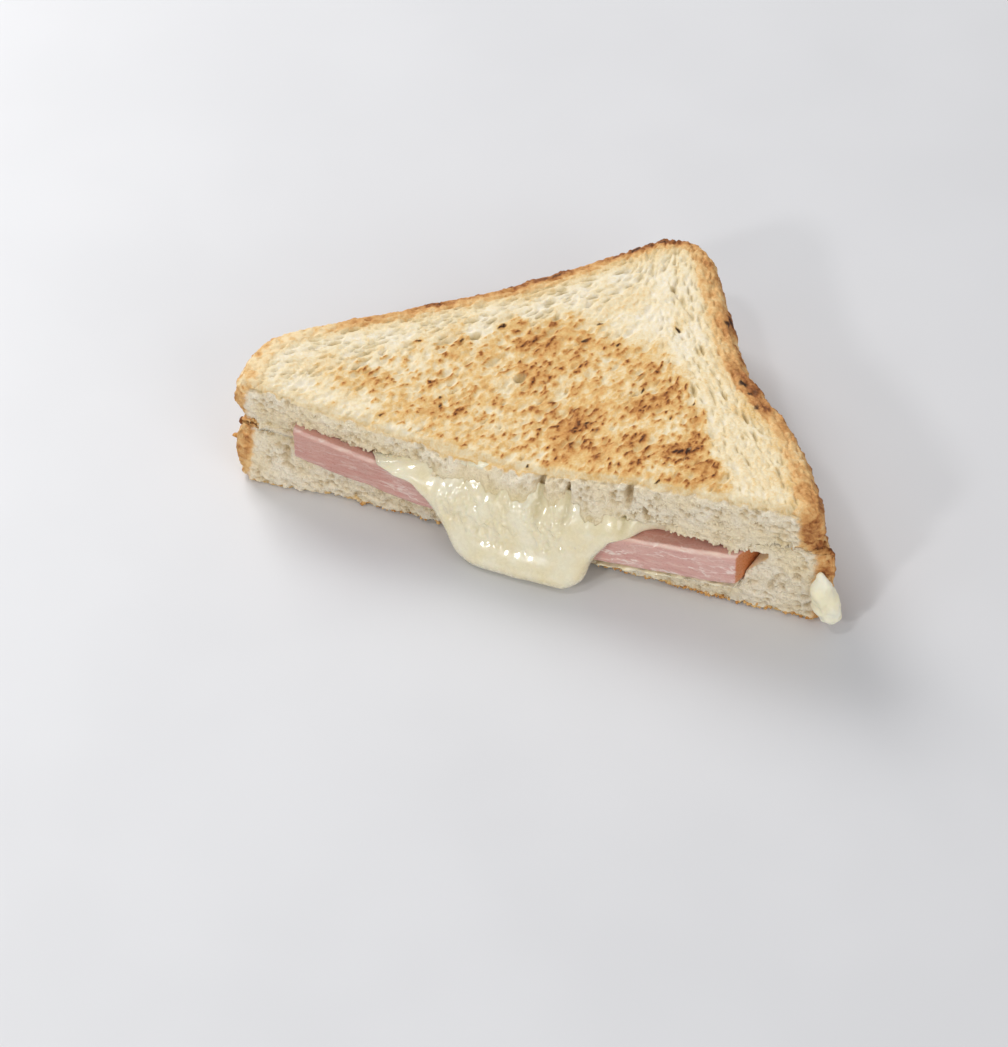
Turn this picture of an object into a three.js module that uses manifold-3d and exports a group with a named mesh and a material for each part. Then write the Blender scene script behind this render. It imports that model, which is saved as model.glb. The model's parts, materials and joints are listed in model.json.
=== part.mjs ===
// One half of a toasted ham and cheese sandwich, cut from corner to corner, in millimetres.
// +X runs along the cut edge, the cut face looks along -Y, the crusts meet at +Y, and +Z is up.
// The filling is a thick slice of ham with melted cheese over it, which runs out of the cut as a tongue.
import * as THREE from "three";
import { LoftGeometry } from "three/addons/geometries/LoftGeometry.js";
import { mergeVertices } from "three/addons/utils/BufferGeometryUtils.js";
import Module from "manifold-3d";

const wasm = await Module();
wasm.setup();

// ---- Driving dimensions ----
const LEFT_END = -83; // where the cut meets the crust at the left
const RIGHT_END = { upper: 77.5, lower: 80.5 }; // and at the right, on each slice
const APEX = [13, 100]; // the square corner of the slice, before it is rounded
const HEIGHT = 33; // both slices and the filling, along the crusts
const SEAM = 18.5; // height at which the two slices meet under the crust
const SEAM_RISE = 7.5; // how much higher they meet at the right end of the cut
const CUT_BOW = 2; // the cut face swells this far at its middle
const LEAN = 3.5; // at its left end it comes forward this far from the seam down to the base
const GAP = 0.3; // kept between pieces that touch
const BED = 6; // the lower slice, pressed thin under the filling
const BED_RISE = 7.8; // how much higher the left end of the filling lies
const BED_LOW = 8; // the lowest place of the filling
const HAM_THICK = 10.5;
const HAM_LEFT = -65;
const HAM_RIGHT = 59.5;
const HAM_SLANT = 4; // the right end of the ham runs back at a slant over this length
const HAM_PROUD = 2.5; // the ham stands out of the cut face
const CHEESE_THICK = 5.5;
const CHEESE_MID = 3; // the cheese pool is an ellipse about this X
const CHEESE_HALF = 50;
const CHEESE_DEPTH = 42;
const CHEESE_FILM = 0.6; // its thickness at the rim of the pool
const TONGUE_REACH = 9.5; // how far the run of cheese stands out of the cut
const TOE = 0.9; // its lowest point

const CORE = new THREE.Vector2(2, 34); // every ring of a slice is drawn about this point
const AROUND = 84; // points in each ring of a slice

// ---- Small helpers ----
const lerp = THREE.MathUtils.lerp;
const smooth = (low, high, value) => THREE.MathUtils.smoothstep(value, low, high);
const bell = (value, middle, width) => Math.exp(-(((value - middle) / width) ** 2));

// A closed outline through the corners [x, y, rounding], each rounded off, with evenly spaced points.
function outlineOf(corners, count) {
  const points = corners.map(([x, y]) => new THREE.Vector2(x, y));
  const towards = (from, to, length) => to.clone().sub(from).setLength(length).add(from);
  const path = new THREE.Path();
  corners.forEach(([x, y, round], i) => {
    const before = towards(points[i], points.at(i - 1), round);
    const after = towards(points[i], points[(i + 1) % points.length], round);
    if (i === 0) path.moveTo(before.x, before.y);
    else path.lineTo(before.x, before.y);
    path.quadraticCurveTo(x, y, after.x, after.y);
  });
  path.closePath();
  return path.getSpacedPoints(count).slice(0, count);
}

// The middle of the cut face stands forward of its ends.
const cutFront = (x) => -CUT_BOW * (1 - (x / 80) ** 2);

// The plan of a slice of tin loaf: flared corners, and a waist halfway along each crust.
function slicePlan(rightEnd, grow) {
  const corners = [
    [LEFT_END - grow, -grow, 2],
    [rightEnd + grow, -grow, 2],
    [rightEnd - 6 + grow, 13.5, 9],
    [62.5 + grow, 29.5 + grow, 9],
    [41 + grow, 50.5 + grow, 9],
    [APEX[0], APEX[1] + 1.5 * grow, 17],
    [-28 - grow, 61.5 + grow, 13],
    [-85.3 - grow, 18.5 + grow, 12],
  ];
  return outlineOf(corners, AROUND).map((point) => {
    const isCut = point.y < 1.2;
    if (isCut) point.y += cutFront(point.x);
    return { point, isCut };
  });
}

// ---- Heights of the layers, as functions of the place on the plan ----
const hamUnder = (x) => BED + BED_RISE * (Math.abs(x - BED_LOW) / 70) ** 1.4;
const hamTop = (x) => hamUnder(x) + HAM_THICK;
// The ham reaches back to two sloping edges behind the cut.
const hamBack = (x) =>
  Math.min(15 + 0.78 * (x - HAM_LEFT), 10 + 1.18 * (HAM_RIGHT - x), 62 - 0.012 * (x - 6) ** 2);
const hamFront = (x) => cutFront(x) - HAM_PROUD + 2 * Math.max(x - HAM_RIGHT + HAM_SLANT, 0);

// Where the two slices meet: along the crusts, and over the ham somewhere within its thickness.
function seamHeight(x, y) {
  const alongCut = smooth(HAM_LEFT, HAM_LEFT + 10, x) * (1 - smooth(HAM_RIGHT - 9, HAM_RIGHT - 1, x));
  const overHam = alongCut * (1 - smooth(hamBack(x) - 9, hamBack(x) - 1, y));
  return lerp(SEAM + SEAM_RISE * smooth(30, 70, x) * bell(y, 0, 22), hamTop(x) - 0.4 * HAM_THICK, overHam);
}

// The pool of cheese thins out towards its rim.
function cheeseThick(x, y) {
  const outward = Math.hypot((x - CHEESE_MID) / CHEESE_HALF, Math.max(y, 0) / CHEESE_DEPTH);
  return CHEESE_FILM + (CHEESE_THICK - CHEESE_FILM) * smooth(0, 0.62, 1 - outward);
}

// The upper face is pressed hollow left of the middle and puffed up at the right of the cut.
function breadTop(x, y) {
  const puff = 3.2 * Math.tanh((x - 13) / 16) + 3 * (x / 75) ** 2;
  return HEIGHT + puff * bell(y, 0, 38) - 1.2 * bell(Math.hypot(x, y - 32), 0, 30);
}

// The lower face is flat, and lifts a little along the middle of the cut.
const breadUnder = (x, y) => 1.2 * bell(x, 0, 38) * bell(y, 0, 12);

// ---- Bread ----
// A slice is lofted from rings. Each ring lies crust mm inside the crust and cut mm inside the cut, or
// the given part of the way to the core. Its share is 0 on the slice's lower face and 1 on the upper one.
const SLICE_RINGS = [
  { inner: 0.7, share: 1 },
  { inner: 0.45, share: 1 },
  { crust: 14, cut: 9, share: 1 },
  { crust: 6, cut: 3, share: 0.99 },
  { crust: 2.4, cut: 0.9, share: 0.93 },
  { crust: 0.5, cut: 0.1, share: 0.74 },
  { crust: 0, cut: 0, share: 0.42 },
  { crust: 0.7, cut: 0, share: 0.16 },
  { crust: 2.6, cut: 0, share: 0 },
  { crust: 7, cut: 4, share: 0 },
  { crust: 14, cut: 9, share: 0 },
  { inner: 0.45, share: 0 },
  { inner: 0.7, share: 0 },
];

function slice({ under, top, rightEnd, grow = 0, beyond = 0, upsideDown = false }) {
  const plan = slicePlan(rightEnd, grow);
  const rings = upsideDown ? SLICE_RINGS.map((ring) => ({ ...ring, share: 1 - ring.share })) : SLICE_RINGS;
  const sections = rings.map(({ crust, cut, inner, share }) =>
    plan.map(({ point, isCut }) => {
      const inward = CORE.clone().sub(point);
      const inset = isCut ? cut || -beyond : crust;
      const { x, y } = inward.setLength(inner ? inner * inward.length() : inset).add(point);
      const lean = upsideDown ? LEAN * (1 - share) * smooth(48, 78, -x) * (1 - smooth(0, 16, y)) : 0;
      return new THREE.Vector3(x, y - lean, lerp(under(x, y) - grow, top(x, y) + grow, share));
    }),
  );
  return loft(upsideDown ? sections : sections.reverse());
}

// ---- Filling ----
// One slab of ham, lofted from section to section along the cut.
function ham(grow = 0) {
  const corner = HAM_RIGHT - HAM_SLANT;
  const along = [...Array(33).keys()].map((i) => lerp(HAM_LEFT - grow, corner, i / 32));
  const slanted = [0.25, 0.5, 0.75, 1].map((share) => lerp(corner, HAM_RIGHT + grow, share));
  const sections = [...along, ...slanted].map((x) => {
    const [front, back] = [hamFront(x) - (x > corner ? 2.2 : 1) * grow, hamBack(x) + 1.5 * grow];
    const [low, high] = [hamUnder(x) - grow, hamTop(x) + grow];
    return roundedSection(x, front, back, low, high, 0.8);
  });
  return loft(sections);
}

// A rectangle across the cut at X with its corners cut off, counterclockwise as seen from +X.
const roundedSection = (x, front, back, low, high, round) =>
  [
    [back, high - round],
    [back - round, high],
    [lerp(back, front, 0.5), high],
    [front + round, high],
    [front, high - round],
    [front, low + round],
    [front + round, low],
    [lerp(back, front, 0.5), low],
    [back - round, low],
    [back, low + round],
  ].map(([y, z]) => new THREE.Vector3(x, y, z));

// The crevice between the right end of the ham and the bread, open at the cut and narrowing downwards.
function hamCrevice() {
  const sections = [0, 0.5, 1].map((share) => {
    const x = lerp(HAM_RIGHT - HAM_SLANT, HAM_RIGHT + 3.5, share);
    const low = lerp(hamUnder(x) + 1, hamTop(x) - 1.6, share);
    return roundedSection(x, -9, 9 - 2 * share, low, hamTop(x) + GAP - 0.4 * share, 0.6);
  });
  return loft(sections);
}

// How much of the full run of cheese there is at X: none outside the tongue, and 1 where it reaches down.
const tongueAt = (x) => smooth(-33, -11, x) * (1 - smooth(12, 24, x));

// How far the pool reaches back at X.
function poolBack(x) {
  const along = (x - CHEESE_MID) / CHEESE_HALF;
  return 0.96 * CHEESE_DEPTH * Math.sqrt(Math.max(1 - along ** 2, 0));
}

// How far the cheese comes out of the cut at X: past the ham (1), or it stops short inside (0).
const outAt = (x) => 1 - smooth(25, 32, x);

// The section of the melted cheese at X, as points in Y and Z: the pool between ham and bread, and in
// front of it the lip, which hangs down as a tongue in the middle of the cut.
function cheeseSection(x, shrink) {
  const run = tongueAt(x);
  const out = outAt(x);
  const front = cutFront(x);
  const back = poolBack(x);
  const base = hamTop(x) + GAP;
  const face = lerp(front + 3.4, front - HAM_PROUD - GAP, out); // just clear of the ham's cut face
  const neck = lerp(front + 4, front - GAP, out);
  const head = base + cheeseThick(x, 0) + 4.5 * run; // cheese smeared up over the bread
  const drop = 0.5 * smooth(-42, -31, x) * (1 - smooth(14, 22, x)); // over the upper edge of the ham
  const toe = lerp(base - drop, TOE, run);
  const depths = [0, 0.25, 0.5, 0.75, 1].map((share) => lerp(back, lerp(4.5, 0.5, out), share));
  const points = depths.map((y) => [y, base + cheeseThick(x, y)]);
  points.push([neck, base + cheeseThick(x, 0)]);
  points.push([neck - 0.2, head]);
  const profile = [[0.06, 0.02], [0.36, 0.22], [0.72, 0.48], [0.95, 0.72], [1, 0.88], [0.86, 0.98], [0.55, 1]];
  for (const [outwards, down] of profile) {
    const reach = lerp(lerp(0.8, HAM_PROUD + 1.2, out), TONGUE_REACH, run);
    points.push([neck - 0.4 - reach * outwards, lerp(head, toe, down)]);
  }
  points.push([face, toe]);
  points.push([face, base]);
  points.push(...depths.reverse().map((y) => [y, base]));
  const middle = base + CHEESE_FILM / 2;
  return points.map(([y, z]) => new THREE.Vector3(x, lerp(y, neck + 3, shrink), lerp(z, middle, shrink)));
}

const POOL_STATIONS = [...Array(28).keys()].map((i) => CHEESE_MID + (CHEESE_HALF - 2) * (i / 13.5 - 1));

const upperCheese = () => loft(POOL_STATIONS.map((x, i) => cheeseSection(x, i % 27 === 0 ? 0.7 : 0)));

// The room that the pool takes up in the upper slice, with the gap around it.
function poolSpace() {
  const steps = [0, 0.25, 0.5, 0.75, 1];
  const sections = POOL_STATIONS.map((station) => {
    const x = CHEESE_MID + (station - CHEESE_MID) * (1 + GAP / 40);
    const roof = steps.map((step) => {
      const y = lerp(poolBack(x) + GAP, 0.5, step);
      return new THREE.Vector3(x, y, hamTop(x) + cheeseThick(x, y) + 2 * GAP);
    });
    const inFront = -9;
    return [
      ...roof,
      new THREE.Vector3(x, inFront, hamTop(x) + cheeseThick(x, 0) + 2 * GAP),
      new THREE.Vector3(x, inFront, hamTop(x) - 1),
      new THREE.Vector3(x, poolBack(x) + GAP, hamTop(x) - 1),
    ];
  });
  return loft(sections);
}

// A thin run of cheese under the right half of the ham, which just shows along its lower edge.
function lowerCheese(grow = 0) {
  const sections = [];
  for (let i = 0; i <= 10; i++) {
    const x = lerp(18 - grow, 56 + grow, i / 10);
    const half = lerp(0.3, 0.8, Math.sin((Math.PI * i) / 10));
    const front = cutFront(x) - HAM_PROUD * 0.8;
    const middle = hamUnder(x) - GAP - 0.85;
    const outline = [[14, 0.7], [4, 1], [front, 0.8], [front - 0.7, 0], [front, -0.8], [4, -1], [14, -0.7]];
    sections.push(
      outline.map(([y, side]) => new THREE.Vector3(x, y > 4 ? y + grow : y, middle + (half + grow) * side)),
    );
  }
  return loft(sections);
}

// A soft lump of cheese that stuck to the lower slice's right corner.
function cornerCheese() {
  const lump = new THREE.SphereGeometry(1, 14, 10);
  const at = lump.getAttribute("position");
  for (let i = 0; i < at.count; i++) {
    const height = at.getZ(i);
    const girth = 1 - 0.28 * height; // wider at its foot
    const x = 78.4 + 3.3 * girth * at.getX(i) - 1.4 * height;
    at.setXYZ(i, x, -0.8 + 3.8 * girth * at.getY(i), 12.2 + 8.5 * height);
  }
  return closed(lump);
}

// ---- Solids ----
// A solid through rings that run counterclockwise as seen from the last one; each end closes at its middle.
function loft(rings) {
  const pinched = (ring) => {
    const middle = ring.reduce((sum, point) => sum.add(point), new THREE.Vector3()).divideScalar(ring.length);
    return ring.map(() => middle);
  };
  return closed(new LoftGeometry([pinched(rings[0]), ...rings, pinched(rings.at(-1))]));
}

// Merges the doubled vertices of a geometry and drops the faces that this closes up.
function closed(geometry) {
  const bare = new THREE.BufferGeometry();
  bare.setAttribute("position", geometry.getAttribute("position"));
  bare.setIndex(geometry.index);
  const merged = mergeVertices(bare, 1e-3);
  const corners = merged.index.array;
  const kept = [];
  for (let i = 0; i < corners.length; i += 3) {
    const [a, b, c] = corners.slice(i, i + 3);
    if (a !== b && b !== c && c !== a) kept.push(a, b, c);
  }
  merged.setIndex(kept);
  return merged;
}

function solidOf(geometry) {
  return new wasm.Manifold(
    new wasm.Mesh({
      numProp: 3,
      vertProperties: new Float32Array(geometry.getAttribute("position").array),
      triVerts: new Uint32Array(geometry.index.array),
    }),
  );
}

function geometryOf(solid) {
  const { vertProperties, triVerts } = solid.getMesh();
  const geometry = new THREE.BufferGeometry();
  geometry.setAttribute("position", new THREE.BufferAttribute(vertProperties, 3));
  geometry.setIndex([...triVerts]);
  return geometry;
}

// The geometry with its neighbours, each grown by the gap, cut out of it.
const cutBy = (geometry, ...neighbours) =>
  geometryOf(neighbours.reduce((rest, neighbour) => rest.subtract(solidOf(neighbour)), solidOf(geometry)));

const upper = { under: (x, y) => seamHeight(x, y) - 1, top: breadTop, rightEnd: RIGHT_END.upper };
const lower = { under: breadUnder, top: seamHeight, rightEnd: RIGHT_END.lower, upsideDown: true };
const lowerSpace = { ...lower, top: (x, y) => seamHeight(x, y) + 1.2 * GAP, beyond: 0.3 };

const FILLING_SPACE = [ham(GAP), hamCrevice(), poolSpace()];

function part(name, geometry, color, roughness) {
  geometry.computeVertexNormals();
  const mesh = new THREE.Mesh(geometry, new THREE.MeshStandardMaterial({ color, roughness, metalness: 0 }));
  mesh.name = name;
  return mesh;
}

const toastie = new THREE.Group();
toastie.add(
  part("bread_top", cutBy(slice(upper), slice(lowerSpace), ...FILLING_SPACE), 0xdcb67a, 0.85),
  part("bread_bottom", cutBy(slice(lower), ...FILLING_SPACE, lowerCheese(GAP)), 0xd9bb88, 0.85),
  part("ham", ham(), 0xd29a8b, 0.45),
  part("cheese_upper", upperCheese(), 0xe4d9b4, 0.25),
  part("cheese_lower", lowerCheese(), 0xe4d9b4, 0.3),
  part("cheese_corner", cutBy(cornerCheese(), slice({ ...lower, grow: 1.6 * GAP })), 0xf0e4c4, 0.35),
);

// The origin is under the middle of the whole, on the surface that it stands on.
const box = new THREE.Box3().setFromObject(toastie);
const middle = box.getCenter(new THREE.Vector3());
toastie.position.set(-middle.x, -middle.y, -box.min.z);

export default toastie;
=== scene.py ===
"""The looks of half a ham and cheese toastie: two toasted slices, cooked ham, melted cheese and crumbs."""

import json
import math
import random

import bmesh
import bpy
import numpy as np
from mathutils import Matrix, Vector, kdtree, noise

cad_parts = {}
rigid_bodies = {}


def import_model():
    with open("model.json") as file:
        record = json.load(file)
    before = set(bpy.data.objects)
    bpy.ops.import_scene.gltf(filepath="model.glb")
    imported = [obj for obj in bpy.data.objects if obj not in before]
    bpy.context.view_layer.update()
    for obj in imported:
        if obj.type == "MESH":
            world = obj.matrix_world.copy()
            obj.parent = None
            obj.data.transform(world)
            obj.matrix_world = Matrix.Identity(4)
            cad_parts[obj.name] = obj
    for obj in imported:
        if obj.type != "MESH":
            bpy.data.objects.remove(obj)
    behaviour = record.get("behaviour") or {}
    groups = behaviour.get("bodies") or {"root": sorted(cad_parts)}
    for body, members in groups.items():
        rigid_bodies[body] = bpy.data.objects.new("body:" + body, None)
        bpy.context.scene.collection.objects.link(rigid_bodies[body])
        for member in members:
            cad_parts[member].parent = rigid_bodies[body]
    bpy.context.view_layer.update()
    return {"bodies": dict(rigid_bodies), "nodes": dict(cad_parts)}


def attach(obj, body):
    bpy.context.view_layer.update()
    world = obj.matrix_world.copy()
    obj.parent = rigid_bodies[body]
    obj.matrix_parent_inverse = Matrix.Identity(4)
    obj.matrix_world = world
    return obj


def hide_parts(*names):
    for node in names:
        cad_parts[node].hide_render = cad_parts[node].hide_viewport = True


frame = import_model()
BODY = next(iter(frame["bodies"]))

MM = 0.001
# Measures below are in millimetres from the middle of the cut edge, at the height of the floor.
CUT_MIDDLE = np.array([0.787, -40.599, 0.0])
# The cut bows forward by the first of these at its middle and by nothing at the second to either side.
CUT_BOW, CUT_HALF = 2.0, 80
# Heights along the cut are kept millimetre by millimetre as far as this to either side of its middle.
CUT_REACH = 90

# Straight lines that the two crusts follow: a point on each and the way into the bread.
LEFT_CRUST = {"at": (-85.3, 18.5), "inward": (0.638, -0.770)}
RIGHT_CRUST = {"at": (13.0, 100.0), "inward": (-0.813, -0.583)}

FULL_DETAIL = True
BREAD_VOXEL = 0.3 if FULL_DETAIL else 0.42
FILLING_VOXEL = 0.3 if FULL_DETAIL else 0.4

# How many of each kind of mark a slice gets; pits, slits and strokes are tried, and kept where they belong.
PIT_TRIES, HOLLOWS, SLIT_TRIES, STROKE_TRIES = 17000, 20, 420, 9000
BIG_BURN_CHANCE = 0.0025
CUT_PORES, LARGE_CUT_PORES = 5200, 24
# About how many points of the crust's wall are used to measure how far inside it a place is.
WALL_POINTS = 12000

# Long torn holes in the cut: middle along the cut, middle height, height, width and depth.
TORN_TOP = [
    (2.7, 28, 11, 2.1, 3.0),
    (10.0, 26, 8, 1.7, 2.6),
    (26.0, 31, 8, 2.6, 3.2),
    (31.0, 26, 6, 2.4, 2.6),
    (-29.0, 32, 6, 2.4, 1.6),
    (42.0, 29.5, 3, 1.4, 1.2),
]
TORN_BOTTOM = [(-68.0, 12, 6, 2.6, 1.2), (64.0, 10, 5, 3.0, 1.0)]
# Open tears in the griddled face of the top slice: where each is, its length and its width.
TORN_FACE = [
    (13.2, 71.5, 3.2, 1.8),
    (30.5, 37.0, 6.0, 1.6),
    (38.5, 37.5, 5.0, 1.3),
    (46.5, 30.5, 5.5, 1.3),
    (27.5, 52.5, 5.0, 1.2),
    (51.0, 24.5, 4.5, 1.2),
    (-60.5, 29.5, 4.0, 1.1),
    (-63.5, 23.0, 4.5, 1.1),
    (-14.0, 28.5, 4.5, 2.6),
    (-30.0, 38.5, 4.0, 2.2),
]
# Burnt blisters on the right crust of the top slice: where each is and how wide.
BLISTERS = [
    (41.5, 43.5, 33.5, 2.2),
    (47.9, 35.4, 34.4, 1.7),
    (30.3, 64.8, 31.8, 1.5),
    (44.5, 40.0, 34.0, 1.1),
]
# Folds down the cheese, below the torn holes: middle along the cut, width and strength.
CHEESE_FOLDS = [(2.7, 1.3, 1.0), (10.2, 1.1, 0.7), (25.5, 1.4, 0.9)]

# The lamps all face one place, in metres. Each has its name, its place in metres, its size and its power.
LAMPS_FACE = (0, 0, 0.01)
LAMPS = (
    ("window", (-0.8, 0.6, 0.8), 0.6, 10.0),
    ("softbox", (-0.3, -0.5, 1.15), 0.12, 1.5),
    ("low_softbox", (-0.36, -1.05, 0.72), 0.12, 3.2),
    ("front_fill", (1.3, -0.8, 0.8), 1.0, 7.0),
)
# The camera: its place in metres and the ways of its right, its top and its back.
CAMERA_AT = (0.24799, -0.69420, 0.76464)
CAMERA_WAYS = (
    (0.93660, 0.35020, -0.01359),
    (-0.24838, 0.69063, 0.67927),
    (0.24727, -0.63280, 0.73379),
)
CAMERA_LENS, CAMERA_SENSOR = 137.54, 36.0


# ---------------------------------------------------------------- numbers


def smooth(low, high, value):
    """0 below low, 1 above high and an easy slope between."""
    share = np.clip((np.asarray(value, float) - low) / (high - low), 0, 1)
    return share * share * (3 - 2 * share)


def mix(a, b, share):
    return a + (b - a) * share


def bell(value, middle, width):
    """1 at the middle, falling away to nothing on both sides."""
    return np.exp(-(((value - middle) / width) ** 2))


def picks(chance, *ranges):
    """One number drawn by chance from each range in turn."""
    return [chance.uniform(*span) for span in ranges]


def lumps(points, size, seed, octaves, stretch=(1, 1, 1)):
    """Soft fractal noise at each point, about -1 to 1, with lumps about `size` millimetres across."""
    shift = np.array([17.3, 5.1, 9.7]) * (seed + 1)
    places = np.asarray(points, float) / (size * np.array(stretch)) + shift
    return np.array([noise.fractal(Vector(p), 1.0, 2.0, octaves) for p in places])


def cells(points, size, seed, stretch):
    """Round cells about `size` millimetres across: 0 at the middle of each and near 1 where they meet."""
    shift = np.array([3.7, 21.9, 11.3]) * (seed + 1)
    places = np.asarray(points, float) / (size * np.array(stretch)) + shift
    return np.array([noise.voronoi(Vector(p))[0][0] for p in places])


# ---------------------------------------------------------------- flat maps of a face


class FaceMap:
    """A fine flat grid laid over one face of the bread, in millimetres, that pits are pressed into."""

    def __init__(self, low, high, step):
        self.low, self.step = np.array(low, float), step
        self.size = [int(math.ceil((b - a) / step)) + 1 for a, b in zip(low, high)]
        axes = [start + step * np.arange(count) for start, count in zip(low, self.size)]
        self.x, self.y = np.meshgrid(*axes, indexing="ij")

    def blank(self):
        return np.zeros(self.size)

    def press(self, depth, at, turn, long, wide, deep):
        """Press one oval bowl into a map of depths, keeping whatever is deeper already."""
        reach = max(long, wide) / 2
        i0, j0 = [max(int((c - reach - low) / self.step), 0) for c, low in zip(at, self.low)]
        i1, j1 = [int((c + reach - low) / self.step) + 2 for c, low in zip(at, self.low)]
        if i1 <= 0 or j1 <= 0:
            return
        part = (slice(i0, i1), slice(j0, j1))
        u, v = self.x[part] - at[0], self.y[part] - at[1]
        c, s = math.cos(turn), math.sin(turn)
        far = ((u * c + v * s) / (long / 2)) ** 2 + ((v * c - u * s) / (wide / 2)) ** 2
        depth[part] = np.maximum(depth[part], deep * np.clip(1 - far, 0, 1))

    def soften(self, values, size):
        """Blur a map over about `size` millimetres."""
        fx, fy = np.fft.fftfreq(self.size[0], self.step), np.fft.rfftfreq(self.size[1], self.step)
        fall = np.exp(-2 * (math.pi * size) ** 2 * (fx[:, None] ** 2 + fy[None, :] ** 2))
        return np.fft.irfft2(np.fft.rfft2(values) * fall, s=self.size)

    def combed(self, turn, seed, length, width):
        """Noise combed along the run of the crumb into streaks, with mean 0 and spread 1."""
        run_x, run_y = np.cos(turn), np.sin(turn)
        loose = self.soften(np.random.default_rng(seed).standard_normal(self.size), width)
        total = self.blank()
        reach = max(int(length / 2 / self.step), 1)
        for k in range(-reach, reach + 1):
            total += self.read(loose, self.x + run_x * k * self.step, self.y + run_y * k * self.step)
        return (total - total.mean()) / total.std()

    def read(self, values, x, y):
        """The map's value at points anywhere on it."""
        i = np.clip((x - self.low[0]) / self.step, 0, self.size[0] - 1.001)
        j = np.clip((y - self.low[1]) / self.step, 0, self.size[1] - 1.001)
        i0, j0 = i.astype(int), j.astype(int)
        a, b = i - i0, j - j0
        near = values[i0, j0] * (1 - b) + values[i0, j0 + 1] * b
        far = values[i0 + 1, j0] * (1 - b) + values[i0 + 1, j0 + 1] * b
        return near * (1 - a) + far * a

    def read_at(self, values, x, y):
        """The map's value at one place."""
        return float(self.read(values, np.array(x), np.array(y)))


def from_crusts(x, y):
    """How far in from the left crust's line and from the right crust's line a point is."""
    return [
        (x - crust["at"][0]) * crust["inward"][0] + (y - crust["at"][1]) * crust["inward"][1]
        for crust in (LEFT_CRUST, RIGHT_CRUST)
    ]


def crumb_turn(x, y):
    """The way that the crumb's stretched cells lie, as a turn from the cut.

    They lie along the left crust and turn to the right crust's run beside it.
    """
    left, right = from_crusts(x, y)
    degrees = 40 + 22 * smooth(12, 24, left) + 10 * smooth(30, 60, left) + 54 * smooth(30, 20, right)
    return np.radians(degrees)


# ---------------------------------------------------------------- meshes


class PointValues:
    """Values for every point of a piece, kept together under their names."""

    def __init__(self, **named):
        for name, values in named.items():
            setattr(self, name, values)


def places_of(piece):
    """Where each point of the surface is, in millimetres from the middle of the cut edge."""
    places = np.empty(len(piece.data.vertices) * 3)
    piece.data.vertices.foreach_get("co", places)
    return places.reshape(-1, 3) / MM - CUT_MIDDLE


def ways_of(piece):
    """The way each point of the surface faces."""
    ways = np.empty(len(piece.data.vertices) * 3)
    piece.data.vertex_normals.foreach_get("vector", ways)
    return ways.reshape(-1, 3)


def move_to(piece, places):
    piece.data.vertices.foreach_set("co", ((places + CUT_MIDDLE) * MM).ravel())
    piece.data.update()


def paint(piece, **masks):
    """Keep each mask on the mesh as a named value per point, for the material to read."""
    for name, values in masks.items():
        layer = piece.data.attributes.new(name, "FLOAT", "POINT")
        layer.data.foreach_set("value", np.asarray(values, np.float32))


def settle(piece):
    """Make the piece's modifiers part of its mesh."""
    bpy.context.view_layer.update()
    view = bpy.context.evaluated_depsgraph_get()
    done = bpy.data.meshes.new_from_object(piece.evaluated_get(view), depsgraph=view)
    piece.modifiers.clear()
    piece.data = done


def put_in_scene(shape, name):
    """Make a worked bmesh an object of the scene."""
    mesh = bpy.data.meshes.new(name)
    shape.to_mesh(mesh)
    shape.free()
    piece = bpy.data.objects.new(name, mesh)
    bpy.context.collection.objects.link(piece)
    return piece


def copy_of(node, name, voxel, rounds):
    """A new piece in the shape of a CAD solid, with an even fine mesh and its facets smoothed away."""
    shape = bmesh.new()
    shape.from_mesh(frame["nodes"][node].data)
    bmesh.ops.remove_doubles(shape, verts=shape.verts, dist=1e-6)
    piece = put_in_scene(shape, name)
    even = piece.modifiers.new("even", "REMESH")
    even.mode = "VOXEL"
    even.voxel_size = voxel * MM
    easy = piece.modifiers.new("easy", "SMOOTH")
    easy.factor = 0.5
    easy.iterations = rounds
    settle(piece)
    return piece


def thin_to(piece, triangles):
    """Fewer triangles where the surface is plain, and smooth shading."""
    now = sum(len(face.vertices) - 2 for face in piece.data.polygons)
    if now > triangles:
        thin = piece.modifiers.new("thin", "DECIMATE")
        thin.ratio = triangles / now
        thin.use_collapse_triangulate = True
        settle(piece)
    piece.data.shade_smooth()


def finish_piece(piece, material, slot, *nodes):
    """Give the piece its material and its body, and let it replace the CAD nodes named."""
    piece.data.materials.clear()
    piece.data.materials.append(material)
    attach(piece, BODY)
    if nodes:
        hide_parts(*nodes)


# ---------------------------------------------------------------- shader nodes


def rgb(red, green, blue):
    """A colour given as on a paint chart, 0 to 255, as the linear colour that shaders use."""
    ends = [c / 255 for c in (red, green, blue)]
    return tuple(c / 12.92 if c <= 0.04045 else ((c + 0.055) / 1.055) ** 2.4 for c in ends) + (1.0,)


def feed(tree, node, inputs):
    """Set each of a node's inputs to a value, or link it to the socket that feeds it."""
    for key, value in inputs.items():
        socket = node.inputs[key]
        if isinstance(value, bpy.types.NodeSocket):
            tree.links.new(value, socket)
        else:
            socket.default_value = value


def add(tree, kind, inputs=None, **settings):
    """Add a node with its settings and inputs."""
    made = tree.nodes.new(kind)
    for name, value in settings.items():
        setattr(made, name, value)
    feed(tree, made, inputs or {})
    return made


def maths(tree, how, a, b=None):
    values = {k: v for k, v in enumerate((a, b)) if v is not None}
    return add(tree, "ShaderNodeMath", values, operation=how).outputs[0]


def plus(tree, a, b):
    return maths(tree, "ADD", a, b)


def minus(tree, a, b):
    return maths(tree, "SUBTRACT", a, b)


def times(tree, a, b):
    return maths(tree, "MULTIPLY", a, b)


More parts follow.
